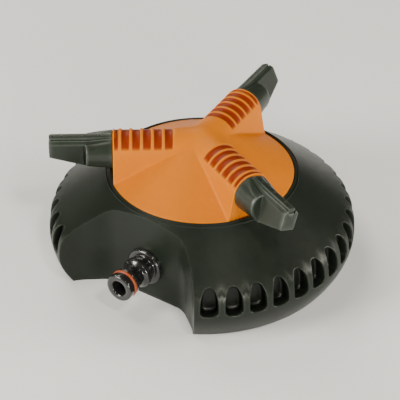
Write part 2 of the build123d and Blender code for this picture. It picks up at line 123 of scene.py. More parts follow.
def mouldedFinishGroup():
    # moulded plastic: cloudy colour, fine spark-eroded grain, scuffs, painted shade in hollows, and lighter
    # edges that are rubbed wear and painted highlight
    group = bpy.data.node_groups.new("mouldedFinish", "ShaderNodeTree")
    for name, kind, value in (
        ("Base", "NodeSocketColor", (0.5, 0.5, 0.5, 1)),
        ("Wear And Highlight", "NodeSocketColor", (0.7, 0.7, 0.7, 1)),
        ("Painted Shade", "NodeSocketColor", (0.2, 0.2, 0.2, 1)),
        ("Cloud Amount", "NodeSocketFloat", 0.15),
        ("Edge Amount", "NodeSocketFloat", 0.5),
        ("Roughness", "NodeSocketFloat", 0.45),
        ("Scuffs", "NodeSocketFloat", 0.1),
        ("Grain Scale", "NodeSocketFloat", 2600.0),
    ):
        group.interface.new_socket(name=name, in_out="INPUT", socket_type=kind).default_value = value
    for name, kind in (
        ("Colour", "NodeSocketColor"), ("Roughness", "NodeSocketFloat"), ("Height", "NodeSocketFloat"),
    ):
        group.interface.new_socket(name=name, in_out="OUTPUT", socket_type=kind)
    nodes, link = group.nodes, group.links.new
    inside = nodes.new("NodeGroupInput").outputs
    outside = nodes.new("NodeGroupOutput").inputs
    where = nodes.new("ShaderNodeTexCoord")
    # lighter edges: rubbed wear and painted highlight, from the mesh's convexity mask
    wearAndHighlight = addNode(nodes, "ShaderNodeAttribute", attribute_name="wearAndHighlightMask")
    # painted shade in hollows, from the mesh's shade mask
    paintedShadeNode = addNode(nodes, "ShaderNodeAttribute", attribute_name="paintedShadeMask")

    def noise(**values):
        texture = addNode(nodes, "ShaderNodeTexNoise", values)
        link(where.outputs["Object"], texture.inputs["Vector"])
        return texture

    def spread(source, low, high, to):
        # a value's range from low to high, widened to the given one
        node = addNode(nodes, "ShaderNodeMapRange",
                       {"From Min": low, "From Max": high, "To Min": to[0], "To Max": to[1]})
        link(source, node.inputs["Value"])
        return node.outputs["Result"]

    def compute(operation, *sources, **settings):
        node = addNode(nodes, "ShaderNodeMath", operation=operation, **settings)
        for index, source in enumerate(sources):
            if isinstance(source, float):
                node.inputs[index].default_value = source
            else:
                link(source, node.inputs[index])
        return node.outputs[0]

    def blend(factor, first, second):
        node = addNode(nodes, "ShaderNodeMix", data_type="RGBA")
        for socket, source in (("Factor", factor), ("A", first), ("B", second)):
            link(source, node.inputs[socket])
        return node.outputs["Result"]

    look = patternLook
    cloud = noise(Scale=look["cloudScale"], Detail=5.0, Roughness=0.6).outputs["Fac"]
    blotch = noise(Scale=look["blotchScale"], Detail=4.0, Roughness=0.65).outputs["Fac"]
    scuff = noise(Scale=look["scuffScale"], Detail=6.0, Roughness=0.75,
                  Distortion=look["scuffDistortion"]).outputs["Fac"]
    grain = noise(Detail=3.0, Roughness=0.7)
    link(inside["Grain Scale"], grain.inputs["Scale"])
    # colour: painted shade darkens the hollows, clouds brighten and darken the base, then edges turn to the
    # lighter colour of rubbed wear and painted highlight
    both = compute("ADD", spread(cloud, 0.3, 0.7, (-1.0, 1.0)), spread(blotch, 0.3, 0.7, (-0.5, 0.5)))
    amount = compute("MULTIPLY_ADD", both, inside["Cloud Amount"], 1.0)
    tint = addNode(nodes, "ShaderNodeVectorMath", operation="SCALE")
    link(blend(paintedShadeNode.outputs["Fac"], inside["Base"], inside["Painted Shade"]), tint.inputs[0])
    link(amount, tint.inputs["Scale"])
    broken = compute("MULTIPLY", wearAndHighlight.outputs["Fac"], spread(scuff, 0.35, 0.6, (0.45, 1.0)))
    edge = compute("MULTIPLY", broken, inside["Edge Amount"], use_clamp=True)
    link(blend(edge, tint.outputs[0], inside["Wear And Highlight"]), outside["Colour"])
    # roughness: scuffs make duller and shinier patches
    patches = spread(scuff, 0.3, 0.7, (-1.0, 1.0))
    rough = compute("MULTIPLY_ADD", patches, inside["Scuffs"], inside["Roughness"], use_clamp=True)
    link(rough, outside["Roughness"])
    link(grain.outputs["Fac"], outside["Height"])
    return group


def plastic(look, group):
    # one moulded plastic or rubber, from the shared finish with its own values
    material, shader = newMaterial(look["name"], {
        "Specular IOR Level": look.get("shine", 0.5),
        "Coat Weight": look.get("coat", 0.0),
        "Coat Roughness": look.get("coatRoughness", 0.1),
    })
    nodes, link = material.node_tree.nodes, material.node_tree.links.new
    finish = addNode(nodes, "ShaderNodeGroup", node_tree=group)
    for socket, value in (
        ("Base", (*look["colour"], 1)),
        ("Wear And Highlight", (*look["wearAndHighlight"], 1)),
        ("Painted Shade", (*look.get("paintedShade", look["colour"]), 1)),
        ("Cloud Amount", look["clouds"]),
        ("Edge Amount", look["edges"]),
        ("Roughness", look["roughness"]),
        ("Scuffs", look["scuffs"]),
        ("Grain Scale", look["grain"]),
    ):
        finish.inputs[socket].default_value = value
    bump = addNode(nodes, "ShaderNodeBump",
                   {"Strength": look["bump"], "Distance": patternLook["grainHeight"]})
    link(finish.outputs["Colour"], shader.inputs["Base Color"])
    link(finish.outputs["Roughness"], shader.inputs["Roughness"])
    link(finish.outputs["Height"], bump.inputs["Height"])
    link(bump.outputs["Normal"], shader.inputs["Normal"])
    return material


def turnedMetal(look):
    # turned or plated metal: rings of tool marks round the axis, blotchy roughness
    material, shader = newMaterial(look["name"], {"Metallic": 1.0})
    nodes, link = material.node_tree.nodes, material.node_tree.links.new
    where = nodes.new("ShaderNodeTexCoord")
    marks = addNode(nodes, "ShaderNodeTexWave", {"Scale": look["marks"], "Distortion": 1.5, "Detail": 3.0},
                    wave_type="RINGS", rings_direction="Z")
    blotch = addNode(nodes, "ShaderNodeTexNoise", {"Scale": patternLook["metalBlotchScale"], "Detail": 5.0})
    rough = addNode(nodes, "ShaderNodeMapRange",
                    {"To Min": look["roughness"] - 0.1, "To Max": look["roughness"] + 0.15})
    mix = addNode(nodes, "ShaderNodeMix", data_type="RGBA")
    mix.inputs["A"].default_value = (*look["colour"], 1)
    mix.inputs["B"].default_value = (*look["dull"], 1)
    bump = addNode(nodes, "ShaderNodeBump",
                   {"Strength": patternLook["markStrength"], "Distance": patternLook["markHeight"]})
    for texture in (marks, blotch):
        link(where.outputs["Object"], texture.inputs["Vector"])
    link(blotch.outputs["Fac"], rough.inputs["Value"])
    link(blotch.outputs["Fac"], mix.inputs["Factor"])
    link(marks.outputs["Fac"], bump.inputs["Height"])
    link(rough.outputs["Result"], shader.inputs["Roughness"])
    link(mix.outputs["Result"], shader.inputs["Base Color"])
    link(bump.outputs["Normal"], shader.inputs["Normal"])
    return material


mouldedFinish = mouldedFinishGroup()
finishes = {slot: plastic(look, mouldedFinish) for slot, look in plasticLooks.items()}
finishes.update({slot: turnedMetal(look) for slot, look in metalLooks.items()})
for part in frame["record"]["subparts"]:
    mesh = frame["nodes"][part["node"]].data
    mesh.materials.clear()
    mesh.materials.append(finishes[part["material_slot"]])
print("finishes made:", len(finishes))


meshLook = {
    "mergeDistance": 0.004,         # millimetres
    "shortestEdge": 0.002,
    "bevelSegments": 2,
    "wearAndHighlightCurvature": 900.0,         # bend of an edge with full wear and painted highlight, radians per metre
    "thinShare": 0.05,              # thickness of a thin place, as a share of the wall
}


def smooth(x, low, high):
    # eases from 0 at low to 1 at high: 3 t^2 - 2 t^3
    t = np.clip((x - low) / (high - low), 0, 1)
    return t * t * (3 - 2 * t)


def gridFaces(rows, cols, closed=False):
    # quads between neighbouring rows and columns; closed joins the last column to the first
    i, j = np.meshgrid(np.arange(rows - 1), np.arange(cols if closed else cols - 1), indexing="ij")
    k = (j + 1) % cols
    return np.stack([i * cols + j, i * cols + k, (i + 1) * cols + k, (i + 1) * cols + j], -1).reshape(-1, 4)


def joinPatches(patches):
    # several (points, quads) pairs as one array of points and one of quads
    points, quads, start = [], [], 0
    for patchPoints, patchQuads in patches:
        flat = np.asarray(patchPoints, float).reshape(-1, 3)
        points.append(flat)
        quads.append(np.asarray(patchQuads) + start)
        start += len(flat)
    return np.concatenate(points), np.concatenate(quads)


def wearAndHighlightMask(mesh, places):
    # how sharply the surface turns outwards at each vertex, 0 to 1, for edge wear and painted edge highlight:
    # the mean over its edges of (change of normal . step) / step^2
    normals = np.empty(places.size)
    mesh.vertices.foreach_get("normal", normals)
    normals = normals.reshape(-1, 3)
    ends = np.empty(len(mesh.edges) * 2, int)
    mesh.edges.foreach_get("vertices", ends)
    a, b = ends.reshape(-1, 2).T
    step = places[b] - places[a]
    bend = ((normals[b] - normals[a]) * step).sum(1) / np.maximum((step ** 2).sum(1), 1e-12)
    total, weight = np.zeros(len(places)), np.zeros(len(places))
    for end in (a, b):
        np.add.at(total, end, bend)
        np.add.at(weight, end, 1)
    return np.clip(total / np.maximum(weight, 1) / meshLook["wearAndHighlightCurvature"], 0, 1)


def makePiece(name, patches, body, nodes, slot, sharpAngle=40, bevel=0, thickness=0, paintedShade=None, thin=None):
    # one mesh from patches in millimetres: doubles merged, sharp edges marked, finished by modifiers;
    # the shade argument gives the share of painted shade at points, thin says where the wall is thin
    points, quads = joinPatches(patches)
    mesh = bpy.data.meshes.new(name)
    mesh.from_pydata((points * mm).tolist(), [], quads.tolist())
    bm = bmesh.new()
    bm.from_mesh(mesh)
    bmesh.ops.remove_doubles(bm, verts=bm.verts, dist=meshLook["mergeDistance"] * mm)
    bmesh.ops.dissolve_degenerate(bm, edges=bm.edges, dist=meshLook["shortestEdge"] * mm)
    loose = [v for v in bm.verts if not v.link_faces]
    bmesh.ops.delete(bm, geom=loose, context="VERTS")
    bmesh.ops.recalc_face_normals(bm, faces=bm.faces)
    weights = bm.edges.layers.float.new("bevel_weight_edge")
    for edge in bm.edges:
        edge.smooth = edge.calc_face_angle(0) < math.radians(sharpAngle)
        edge[weights] = 0.0 if edge.smooth else 1.0
    for face in bm.faces:
        face.smooth = True
    bm.to_mesh(mesh)
    bm.free()
    places = np.empty(len(mesh.vertices) * 3)
    mesh.vertices.foreach_get("co", places)
    places = places.reshape(-1, 3)
    # colour masks: convex edges take rubbed wear and painted highlight, hollows take painted shade
    masks = {"wearAndHighlightMask": wearAndHighlightMask(mesh, places)}
    if paintedShade:
        masks["paintedShadeMask"] = paintedShade(places / mm)
    for label, values in masks.items():
        mask = mesh.attributes.new(label, "FLOAT", "POINT")
        mask.data.foreach_set("value", values.astype(np.float32))
    obj = bpy.data.objects.new(name, mesh)
    bpy.context.scene.collection.objects.link(obj)
    mesh.materials.append(finishes[slot])
    if bevel:
        rounding = obj.modifiers.new("edgeRounding", "BEVEL")
        rounding.width = bevel * mm
        rounding.segments = meshLook["bevelSegments"]
        rounding.limit_method = "WEIGHT"
        rounding.use_clamp_overlap = True
    if thickness:
        wall = obj.modifiers.new("wall", "SOLIDIFY")
        wall.thickness = thickness * mm
        wall.offset = -1
        if thin:
            full = obj.vertex_groups.new(name="fullWall")
            full.add(np.flatnonzero(~thin(places / mm)).tolist(), 1.0, "REPLACE")
            wall.vertex_group = "fullWall"
            wall.thickness_vertex_group = meshLook["thinShare"]
    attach(obj, body)
    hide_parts(*nodes)
    return obj


baseLook = {
    "foot": (82.4, 0.0),            # radius and height where the skirt meets the ground
    "belly": (90.0, 18.0),          # widest ring
    "shoulder": (85.0, 33.3),       # where the straight dome begins
    "footSlope": (12, 17),
    "bellySlopes": ((0, 17), (0, 16)),   # arriving from below, leaving upwards
    "shoulderSlope": (-13, 9.3),
    "wellRadius": 53.7,
    "wellRim": 55.6,
    "deck": 49.5,
    "deckMiddle": 32.0,
    "rimLand": 1.2,                 # width of the ring beside the well's rim
    "bossRadius": 11.0,
    "bossTop": 51.5,
    "bossBore": 6.2,
    # plan of half the inlet recess (across, distance from the axis): back wall, fold, side wall, past the rim
    "recess": ((0, 56.5), (19, 56.5), (23, 56.5), (27.5, 58.2), (33.5, 63.0), (39.5, 67.6), (43.4, 72.4),
               (46.2, 75.8), (50.5, 81.5)),
    "edgeRounding": 0.4,
    "sharpAngle": 46,
    "wall": 2.4,
}
scoopLook = {
    "count": 33,
    "first": 36.8,                  # degrees from the inlet
    "halfWidth": 5.15,
    "bottom": 17.9,
    "top": 33.9,
    "back": 83.0,                   # radius of the upright back wall
    "cornerHeight": 3.4,            # height of the rounded lower part
    "archPower": 2.7,               # 2 is an ellipse, more is boxier
    "cornerPower": 2.8,
    "band": (16.2, 35.6),           # heights of the band that the cells fill
    # rings over the lip: growth of the outline, depth below the dome, at most this share of the pocket
    "lip": ((1.2, 0, 0), (0.6, 0, 0), (0.5, 0.004, 0.1), (0.3, 0.06, 0.1), (0.08, 0.24, 0.25),
            (-0.06, 0.6, 0.5), (-0.14, 1.1, 0.62)),
    # rings down to the back wall: growth of the outline, distance from the wall, share of the pocket's depth
    "cove": ((-0.2, 1.7, 0.7), (-0.36, 1.1, 0.8), (-0.66, 0.55, 0.88), (-1.1, 0.2, 0.95), (-1.65, 0.03, 1),
             (-2.1, 0, 1)),
    "shadeDepths": (0.3, 2.2),      # where the painted shade starts and is full
}


def hermite(start, end, startSlope, endSlope, count=400):
    # cubic from start to end with the given slopes:
    # (2t^3 - 3t^2 + 1) start + (t^3 - 2t^2 + t) startSlope + (3t^2 - 2t^3) end + (t^3 - t^2) endSlope
    t = np.linspace(0, 1, count)[:, None]
    a, b, c, d = (np.array(v, float) for v in (start, end, startSlope, endSlope))
    fromStart = (2 * t**3 - 3 * t**2 + 1) * a + (t**3 - 2 * t**2 + t) * c
    return fromStart + (3 * t**2 - 2 * t**3) * b + (t**3 - t**2) * d


def domeOutline():
    # (radius, height) of the base's outer surface: curved skirt, curved belly, straight up to the well
    look = baseLook
    fromBelow, upwards = look["bellySlopes"]
    skirt = hermite(look["foot"], look["belly"], look["footSlope"], fromBelow)
    belly = hermite(look["belly"], look["shoulder"], upwards, look["shoulderSlope"])
    return np.vstack([skirt, belly[1:], [(look["wellRadius"], look["wellRim"])]])


outline = domeOutline()


def domeRadius(height):
    # radius of the base's outer surface at a height
    return np.interp(height, outline[:, 1], outline[:, 0])


def domeHeight(radius):
    # height of the dome at a radius, for the part above the belly
    upper = outline[outline[:, 1] >= baseLook["belly"][1]][::-1]
    return np.interp(radius, upper[:, 0], upper[:, 1])


def recessPath(cuts=4):
    # plan line of half the recess, its corners cut again and again into a curve, and the length along it
    line = np.array(baseLook["recess"], float)
    for _ in range(cuts):
        quarter, rest = 0.75 * line[:-1] + 0.25 * line[1:], 0.25 * line[:-1] + 0.75 * line[1:]
        line = np.vstack([line[:1], np.stack([quarter, rest], 1).reshape(-1, 2), line[-1:]])
    along = np.concatenate([[0], np.cumsum(np.hypot(*np.diff(line, axis=0).T))])
    return line[:, 0], line[:, 1], along


pathX, pathY, pathAlong = recessPath()
pathRadius = np.hypot(pathX, pathY)
scoopPitch = math.radians(360 - 2 * scoopLook["first"]) / (scoopLook["count"] - 1)
firstBorder = math.radians(scoopLook["first"]) - scoopPitch / 2   # where the first scoop's cell begins


def recessReach(radius):
    # how far along the recess line the dome's edge is, at a radius
    return np.interp(radius, pathRadius, pathAlong)


def pastRecess(points, margin=0.0):
    # whether points are beyond the recess, where the scoops are
    return np.arctan2(np.abs(points[:, 0]), -points[:, 1]) > firstBorder - margin


def pocketShade(points):
    # scoops get painted shade, by depth below the dome's outer surface
    low, high = scoopLook["band"]
    below = domeRadius(points[:, 2]) - np.hypot(points[:, 0], points[:, 1])
    inBand = smooth(points[:, 2], low, low + 0.5) * (1 - smooth(points[:, 2], high - 0.5, high))
    return smooth(below, *scoopLook["shadeDepths"]) * inBand * pastRecess(points)


def besideScoops(points):
    # the wall is thin round the scoops, so that its inner side stays inside
    low, high = scoopLook["band"]
    return (points[:, 2] > low - 0.1) & (points[:, 2] < high + 0.1) & pastRecess(points, 0.01)


def ringPoints(rows, part):
    # rows of (radius, height) as rings of x = r sin a, y = -r cos a; the columns next to the recess slide
    # along its edge, the others keep their angles
    radius, height = rows[:, :1], rows[:, 1:]
    reach = recessReach(radius)
    start = np.arctan2(np.interp(reach, pathAlong, pathX), np.interp(reach, pathAlong, pathY))
    start = np.where(radius < pathRadius[0] + 1e-6, 0, start)   # whole rings inside the recess's back wall
    left = start + (firstBorder - start) * np.arange(6) / 6
    fixed = firstBorder + np.arange(scoopLook["count"] * 8 + 1) * scoopPitch / 8
    middle = np.broadcast_to(fixed, (len(rows), len(fixed)))
    angle = {
        "all": np.hstack([left, middle, 2 * np.pi - left[:, ::-1]]),
        "left": np.hstack([left, middle[:, :1]]),
        "right": np.hstack([middle[:, -1:], 2 * np.pi - left[:, ::-1]]),
    }[part]
    return np.stack([radius * np.sin(angle), -radius * np.cos(angle), height + 0 * angle], -1)


def scoopCell(bandHeights):
    # one scoop as loops of 40 points (distance round, height, radius), from its cell's border over the lip
    # and down to the middle of the back wall
    scoop = scoopLook
    low, high = scoop["band"]
    side = scoopPitch / 2 * baseLook["belly"][0]
    across = np.linspace(-side, side, 9)
    borderA = np.concatenate([across[:-1], np.full(12, side), -across[:-1], np.full(12, -side)])
    borderZ = np.concatenate([np.full(8, low), bandHeights[::-1][:-1], np.full(8, high), bandHeights[:-1]])
    # outline: two half superellipses, x = w |cos t|^(2/p), z = h |sin t|^(2/p), low below and tall above
    t = np.radians(np.concatenate([np.linspace(225, 315, 9)[:-1], np.linspace(315, 405, 13)[:-1],
                                   np.linspace(45, 135, 9)[:-1], np.linspace(135, 225, 13)[:-1]]))
    power = 2 / np.where(np.sin(t) < 0, scoop["cornerPower"], scoop["archPower"])
    centre = scoop["bottom"] + scoop["cornerHeight"]
    tall = np.where(np.sin(t) < 0, scoop["cornerHeight"], scoop["top"] - centre)
    shapeA = scoop["halfWidth"] * np.sign(np.cos(t)) * np.abs(np.cos(t)) ** power
    shapeZ = centre + tall * np.sign(np.sin(t)) * np.abs(np.sin(t)) ** power
    middle, halfHeight = (scoop["bottom"] + scoop["top"]) / 2, (scoop["top"] - scoop["bottom"]) / 2

    def grown(amount):
        # the outline grown by an amount, or shrunk by a negative one
        return (shapeA * (1 + amount / scoop["halfWidth"]),
                middle + (shapeZ - middle) * (1 + amount / halfHeight))

    loops = [(borderA, borderZ, domeRadius(borderZ))]
    for amount, depth, share in scoop["lip"]:
        a, z = grown(amount)
        surface = domeRadius(z)
        loops.append((a, z, surface - np.minimum(depth, share * (surface - scoop["back"]))))
    for amount, fromBack, share in scoop["cove"]:
        a, z = grown(amount)
        room = domeRadius(z) - scoop["back"]
        loops.append((a, z, scoop["back"] + np.minimum(fromBack, (1 - share) * room)))
    a, z = grown(scoop["cove"][-1][0])
    back = np.full(len(t), scoop["back"])
    loops.append((a * 0.5, middle + (z - middle) * 0.6, back))
    loops.append((0 * a, middle + 0 * z, back))
    return (np.array([loop[k] for loop in loops]) for k in range(3))


def makeBaseShell():
    # the dome is rings of points that stop at the recess's edge; the recess's walls carry the same heights
    # on; the belly is a row of cells, each with one scoop
    look = baseLook
    low, high = scoopLook["band"]
    stops = np.concatenate([
        np.linspace(0, 19, 8),
        np.linspace(19, 32, 14)[1:],
        np.linspace(32, recessReach(domeRadius(high)), 14)[1:],
    ])
    edgeRadii = np.interp(stops, pathAlong, pathRadius)
    bandHeights = np.linspace(high, low, 13)
    skirtHeights = np.linspace(low, 0, 9)
    landRadius = look["wellRadius"] + look["rimLand"]
    wellRows = [
        (look["bossBore"], look["bossTop"]), (look["bossRadius"], look["bossTop"]),
        (look["bossRadius"], look["deck"]), (look["deckMiddle"], look["deck"]),
        (look["wellRadius"], look["deck"]), (look["wellRadius"], look["wellRim"]),
        (landRadius, domeHeight(landRadius)),
    ]
    upperRows = np.array(wellRows + [(r, domeHeight(r)) for r in edgeRadii])
    bandRows = np.stack([domeRadius(bandHeights), bandHeights], 1)
    skirtRows = np.stack([domeRadius(skirtHeights), skirtHeights], 1)
    patches = []
    for rows, part in ((upperRows, "all"), (skirtRows, "all"), (bandRows, "left"), (bandRows, "right")):
        points = ringPoints(rows, part)
        patches.append((points, gridFaces(points.shape[0], points.shape[1])))
    # recess walls: every ring's height, at stops along the recess line, never past that ring's own edge
    wallRows = np.vstack([upperRows[len(wellRows):], bandRows[1:], skirtRows[1:]])
    wallStops = np.concatenate([stops, recessReach(np.linspace(domeRadius(high), 90.3, 9))[1:]])
    both = np.concatenate([-wallStops[::-1], wallStops[1:]])
    along = np.sign(both) * np.minimum(np.abs(both), recessReach(wallRows[:, :1]))
    x = np.sign(along) * np.interp(np.abs(along), pathAlong, pathX)
    y = -np.interp(np.abs(along), pathAlong, pathY)
    patches.append((np.stack([x, y, wallRows[:, 1:] + 0 * x], -1), gridFaces(*x.shape)))
    cellA, cellZ, cellR = scoopCell(bandHeights)
    for index in range(scoopLook["count"]):
        angle = math.radians(scoopLook["first"]) + index * scoopPitch + cellA / look["belly"][0]
        points = np.stack([cellR * np.sin(angle), -cellR * np.cos(angle), cellZ], -1)
        patches.append((points, gridFaces(*cellA.shape, closed=True)))
    return makePiece("baseShell", patches, "base", ["base_shell"], "base_plastic",
                     sharpAngle=look["sharpAngle"], bevel=look["edgeRounding"], thickness=look["wall"],
                     paintedShade=pocketShade, thin=besideScoops)


baseShell = makeBaseShell()
print("base shell made:", len(baseShell.data.polygons), "faces")


coverLook = {
    "armFirst": 215.8,              # azimuth of the first arm, degrees
    "armHeight": 70.2,
    "radius": 53.1,
    "rim": 55.8,
    "bottom": 51.5,
    "hubTop": 80.6,
    "hubFlat": 9.0,
    "hubSoftness": 5.0,
    "sleeveRadius": 11.8,
    "sleeveEnd": 51.4,
    "flare": 10.0,                  # lean of the sleeves' flanks, degrees
    "blend": 4.5,                   # softness of the crease between a sleeve and the cone
    "hubBlend": 2.0,                # softness of the creases between sleeves
    "mouth": 9.4,
    "mouthDepth": 2.2,
    "grooveFirst": 19.5,
    "grooveCount": 6,
    "groovePitch": 6.2,
    "grooveWidth": 4.5,
    "grooveLastEnd": 50.6,
    "grooveDepth": 0.9,
    "grooveEdge": 0.3,              # half the width over which a groove's end slopes
    "grooveReach": 62.0,            # how far a groove goes down each side, degrees
    "groovePoint": 0.6,             # less makes the grooves' ends blunter
    "ribShade": 0.22,               # share of painted shade on the ribs between the grooves, darkening their lit tops
    "startRows": (8.0, 10.0, 12.0, 14.0, 15.5),
    "crownShare": 0.78,             # share of a sleeve's columns that are on its round top
    "edgeRounding": 0.45,
    "sharpAngle": 56,
    "wall": 1.6,
}
arms = [math.radians(coverLook["armFirst"] + 120 * k) for k in range(3)]
coneSlope = (coverLook["hubTop"] - coverLook["rim"]) / (coverLook["radius"] - coverLook["hubFlat"])
flankLean = math.radians(coverLook["flare"])
crownHalf = coverLook["sleeveRadius"] * math.cos(flankLean)   # half width of a sleeve's round top


def grooveSpans():
    # start and end of each groove along an arm
    look = coverLook
    middles = look["grooveFirst"] + look["groovePitch"] * np.arange(look["grooveCount"])
    starts = middles - look["grooveWidth"] / 2
    ends = np.minimum(middles + look["grooveWidth"] / 2, look["grooveLastEnd"])
    return list(zip(starts, ends))


def softMax(a, b, width):
    # the larger of two heights, with their crossing rounded: max + h^2 / (4 width), where
    # h = max(width - |a - b|, 0)
    return np.maximum(a, b) + np.maximum(width - np.abs(a - b), 0) ** 2 / (4 * width)


def grooveCut(along, across):
    # how much of a groove's depth is cut at a place on an arm, 0 to 1: full in the middle and pointed to the
    # sides, ((level - reach) / (1 - reach))^point; and level = sqrt(1 - (across / radius)^2), 1 on top
    look = coverLook
    level = np.sqrt(np.maximum(1 - np.minimum(across / look["sleeveRadius"], 0.98) ** 2, 0))
    reach = math.cos(math.radians(look["grooveReach"]))
    crescent = np.clip((level - reach) / (1 - reach), 0, 1) ** look["groovePoint"]
    edge, cut = look["grooveEdge"], 0
    for start, end in grooveSpans():
        cut = cut + smooth(along, start - edge, start + edge) * (1 - smooth(along, end - edge, end + edge))
    return cut * crescent, level


def armPlaces(x, y):
    # for each arm in turn: distance along it and to its side
    for arm in arms:
        yield x * math.cos(arm) + y * math.sin(arm), np.abs(y * math.cos(arm) - x * math.sin(arm))


def sleeveTop(across):
    # height of a sleeve above its arm's axis: round on top, sqrt(radius^2 - across^2), then leaning flanks
    top = np.sqrt(coverLook["sleeveRadius"] ** 2 - np.minimum(across, crownHalf) ** 2)
    return top - np.maximum(across - crownHalf, 0) / math.tan(flankLean)


def coverHeight(x, y):
    # height of the cover: a low cone, hubTop - slope (out + sqrt(out^2 + softness^2)) / 2, joined softly with
    # three sleeves, whose grooves are cut in
    look = coverLook
    out = np.hypot(x, y) - look["hubFlat"]
    cone = look["hubTop"] - coneSlope * (out + np.sqrt(out**2 + look["hubSoftness"] ** 2)) / 2
    sleeves = np.full(np.shape(x), -100.0)
    for along, across in armPlaces(x, y):
        cut, level = grooveCut(along, across)
        top = sleeveTop(np.hypot(across, np.minimum(along, 0)))
        sleeve = look["armHeight"] + top - cut * look["grooveDepth"] / level
        sleeves = softMax(sleeves, sleeve, look["hubBlend"])
    return softMax(cone, sleeves, look["blend"])


def grooveShade(points):
    # grooves get painted shade wherever they are cut, and the ribs between them a little, so they are darker
    # than the cone
    look, shade = coverLook, 0
    for along, across in armPlaces(*points.T[:2]):
        cut, level = grooveCut(along, across)
        ribs = smooth(along, look["grooveFirst"] - 3.0, look["grooveFirst"] - 2.0) * smooth(level, 0.45, 0.65)
        shade = shade + np.maximum(smooth(cut, 0.0, 0.55), look["ribShade"] * ribs)
    return shade


def sleeveFoot(along):
    # how far to the side of an arm its flank meets the cone: the first place where the cone is higher
    across = np.linspace(0, 20, 2001)
    cone = coverLook["hubTop"] - coneSlope * np.maximum(np.hypot(along, across) - coverLook["hubFlat"], 0)
    sleeve = coverLook["armHeight"] + sleeveTop(across)
    return across[np.argmax(sleeve < cone, axis=1)][:, None]


def coverGrid():
    # places on one arm's third of the cover: rows go outwards along the arm, columns go across its sleeve,
    # down the flanks and over the cone to the middle between arms
    look = coverLook
    rows = set(look["startRows"])
    for start, end in grooveSpans():
        rows.add((start + end) / 2)
        rows.update(place + shift for place in (start, end) for shift in (-0.3, -0.1, 0.1, 0.3))
    rows = np.array(sorted(rows) + [look["sleeveEnd"]])[:, None]
    foot = sleeveFoot(rows)
    crown = look["crownShare"]
    onTop = crown * np.sin(np.radians(np.linspace(0, 80, 18)))
    share = np.concatenate([onTop, np.linspace(crown, 1, 15)[1:]])
    across = foot * share
    facetSteps = (np.arange(1, 21) / 20) ** 1.7      # closer together beside the sleeve
    edgeAngle, edgeRadius = np.arctan2(foot, rows), np.hypot(foot, rows)
    outerRadius = rows * look["radius"] / look["sleeveEnd"]
    facetAngle = edgeAngle + (np.pi / 3 - edgeAngle) * facetSteps
    facetRadius = outerRadius + (edgeRadius - outerRadius) * (1 - facetSteps) ** 3
    halfU = np.hstack([rows + 0 * across, facetRadius * np.cos(facetAngle)])
    halfV = np.hstack([across, facetRadius * np.sin(facetAngle)])
    u = np.hstack([halfU[:, ::-1], halfU[:, 1:]])
    v = np.hstack([-halfV[:, ::-1], halfV[:, 1:]])
    shrink = (np.arange(6) / 6)[:, None]              # rows inside the first one, down to the axis
    sleeveColumns = slice(len(facetSteps), len(facetSteps) + 2 * len(share) - 1)
    return np.vstack([shrink * u[:1], u]), np.vstack([shrink * v[:1], v]), sleeveColumns


def makeRotorCover():
    # three thirds of the cover's top, with a skirt below the rim and an end wall at each sleeve
    look = coverLook
    u, v, sleeveColumns = coverGrid()
    patches = []
    for arm in arms:
        out, side = np.array([[math.cos(arm), math.sin(arm), 0], [-math.sin(arm), math.cos(arm), 0]])
        x, y = u * out[0] + v * side[0], u * out[1] + v * side[1]
        top = np.stack([x, y, coverHeight(x, y)], -1)
        patches.append((top, gridFaces(*x.shape)))
        rim = top[-1]
        for part in (slice(0, sleeveColumns.start + 1), slice(sleeveColumns.stop - 1, None)):
            levels = [rim[part], rim[part] * (1, 1, 0) + (0, 0, look["bottom"])]
            patches.append((np.stack(levels), gridFaces(2, len(rim[part]))))
        # end wall: from the sleeve's outline and the skirt's bottom line in to the round mouth
        bottomV = np.linspace(v[-1][sleeveColumns][-1], v[-1][sleeveColumns][0], 14)[:, None]
        bottomLine = out * look["sleeveEnd"] + bottomV * side + (0, 0, look["bottom"])
        outer = np.vstack([rim[sleeveColumns], bottomLine])
        centre = out * look["sleeveEnd"] + (0, 0, look["armHeight"])
        spoke = outer - centre
        mouth = centre + spoke / np.linalg.norm(spoke, axis=1)[:, None] * look["mouth"]
        rings = [outer, (outer + mouth) / 2, mouth, mouth - out * look["mouthDepth"]]
        patches.append((np.stack(rings), gridFaces(4, len(outer), closed=True)))
    return makePiece("rotorCover", patches, "rotor", ["rotor_cover"], "rotor_plastic",
                     sharpAngle=look["sharpAngle"], bevel=look["edgeRounding"], thickness=look["wall"],
                     paintedShade=grooveShade)


rotorCover = makeRotorCover()
print("rotor cover made:", len(rotorCover.data.polygons), "faces")


